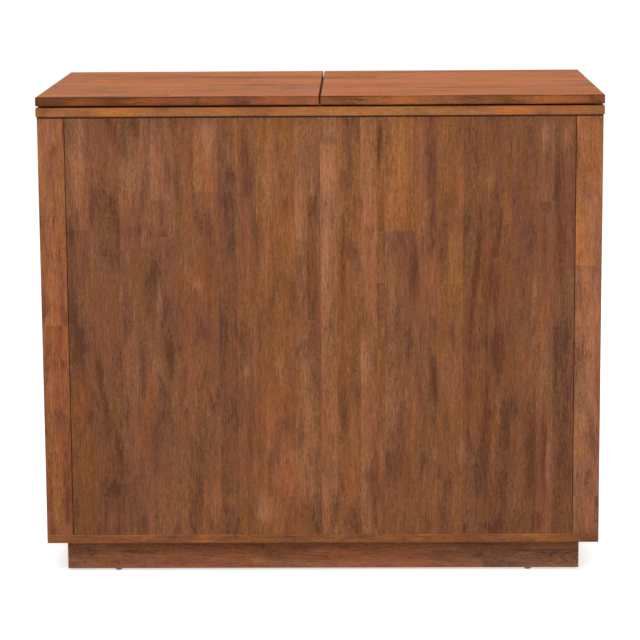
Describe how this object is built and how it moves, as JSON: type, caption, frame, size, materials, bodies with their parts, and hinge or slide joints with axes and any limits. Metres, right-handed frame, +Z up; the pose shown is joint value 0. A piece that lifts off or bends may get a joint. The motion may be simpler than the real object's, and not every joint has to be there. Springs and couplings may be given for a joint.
{
  "type": "bar cabinet",
  "caption": "Free-standing home bar of stained solid wood with a fold-out double top on pull-out supports, drawers, doors, a crossed bottle rack and rails for hanging glasses.",
  "frame": {"origin": "on the floor, under the middle of the top", "axes": "+X to the right of the guest side, +Y towards the working side, +Z up"},
  "size_m": [1.006, 0.57, 0.8685],
  "materials": {
    "leaf_wood": "satin lacquer over a warm red-brown stain",
    "fixed_top_wood": "satin lacquer over a warm brown stain",
    "panel_wood": "satin lacquer over a walnut-brown stain",
    "frame_wood": "satin lacquer over a walnut-brown stain",
    "door_wood": "satin lacquer over a walnut-brown stain",
    "plinth_wood": "satin lacquer over a walnut-brown stain",
    "inner_wood": "bare, sanded",
    "brass": "satin",
    "steel": "zinc plated",
    "catch_plastic": "moulded",
    "glide_nylon": "moulded",
    "bumper_rubber": "moulded"
  },
  "bodies": {
    "cabinet": {"bay_shelves": "frame_wood", "bottle_rack_boards": "frame_wood", "bottom_board": "frame_wood", "door_catches": "catch_plastic", "door_hinge_frame_plates": "brass", "drawer_deck": "frame_wood", "drawer_divider": "frame_wood", "drawer_side_guides": "inner_wood", "fixed_top": "fixed_top_wood", "foot_glides": "glide_nylon", "front_loper_guide": "inner_wood", "front_panel": "panel_wood", "hinge_pins": "brass", "left_bay_divider": "frame_wood", "left_front_stile": "frame_wood", "left_rear_stile": "frame_wood", "left_side_panel": "frame_wood", "loper_stop_blocks": "inner_wood", "panel_cleats": "inner_wood", "plinth_back_rail": "plinth_wood", "plinth_corner_blocks": "inner_wood", "plinth_front_rail": "plinth_wood", "plinth_side_rails": "plinth_wood", "rack_shelf": "frame_wood", "rear_loper_guide": "inner_wood", "rear_top_rail": "frame_wood", "right_bay_divider": "frame_wood", "right_front_stile": "frame_wood", "right_rear_stile": "frame_wood", "right_side_panel": "frame_wood", "shelf_bearers": "inner_wood", "stemware_rails": "frame_wood", "top_hinge_base_plates": "brass"},
    "left_leaf": {"left_top_leaf": "leaf_wood", "left_leaf_hinge_plates": "brass", "left_leaf_bumpers": "bumper_rubber"},
    "left_drawer": {"left_drawer_front": "door_wood", "left_drawer_box": "inner_wood", "left_drawer_pull": "door_wood"},
    "left_door_leaf": {"left_door": "door_wood", "left_door_hinge_plates": "brass", "left_door_pull": "door_wood", "left_door_strike_plate": "steel"},
    "loper_front_left": {"front_left_loper": "inner_wood"},
    "loper_rear_left": {"rear_left_loper": "inner_wood"},
    "right_leaf": {"right_top_leaf": "leaf_wood", "right_leaf_hinge_plates": "brass", "right_leaf_bumpers": "bumper_rubber"},
    "right_drawer": {"right_drawer_front": "door_wood", "right_drawer_box": "inner_wood", "right_drawer_pull": "door_wood"},
    "right_door_leaf": {"right_door": "door_wood", "right_door_hinge_plates": "brass", "right_door_pull": "door_wood", "right_door_strike_plate": "steel"},
    "loper_front_right": {"front_right_loper": "inner_wood"},
    "loper_rear_right": {"rear_right_loper": "inner_wood"}
  },
  "joints": [
    {"name": "left_leaf_fold", "type": "hinge", "parent": "cabinet", "child": "left_leaf", "pos_m": [-0.50025, 0, 0.851], "axis": [0, -1, 0], "range_deg": [0, 180]},
    {"name": "front_left_loper_slide", "type": "slide", "parent": "cabinet", "child": "loper_front_left", "axis": [-1, 0, 0], "range_m": [0, 0.3]},
    {"name": "rear_left_loper_slide", "type": "slide", "parent": "cabinet", "child": "loper_rear_left", "axis": [-1, 0, 0], "range_m": [0, 0.3]},
    {"name": "left_drawer_slide", "type": "slide", "parent": "cabinet", "child": "left_drawer", "axis": [0, 1, 0], "range_m": [0, 0.29]},
    {"name": "left_door_hinge", "type": "hinge", "parent": "cabinet", "child": "left_door_leaf", "pos_m": [-0.4567, 0.2685, 0.3675], "axis": [0, 0, 1], "range_deg": [0, 120]},
    {"name": "right_leaf_fold", "type": "hinge", "parent": "cabinet", "child": "right_leaf", "pos_m": [0.50025, 0, 0.851], "axis": [0, 1, 0], "range_deg": [0, 180]},
    {"name": "front_right_loper_slide", "type": "slide", "parent": "cabinet", "child": "loper_front_right", "axis": [1, 0, 0], "range_m": [0, 0.3]},
    {"name": "rear_right_loper_slide", "type": "slide", "parent": "cabinet", "child": "loper_rear_right", "axis": [1, 0, 0], "range_m": [0, 0.3]},
    {"name": "right_drawer_slide", "type": "slide", "parent": "cabinet", "child": "right_drawer", "axis": [0, 1, 0], "range_m": [0, 0.29]},
    {"name": "right_door_hinge", "type": "hinge", "parent": "cabinet", "child": "right_door_leaf", "pos_m": [0.4567, 0.2685, 0.3675], "axis": [0, 0, -1], "range_deg": [0, 120]}
  ]
}
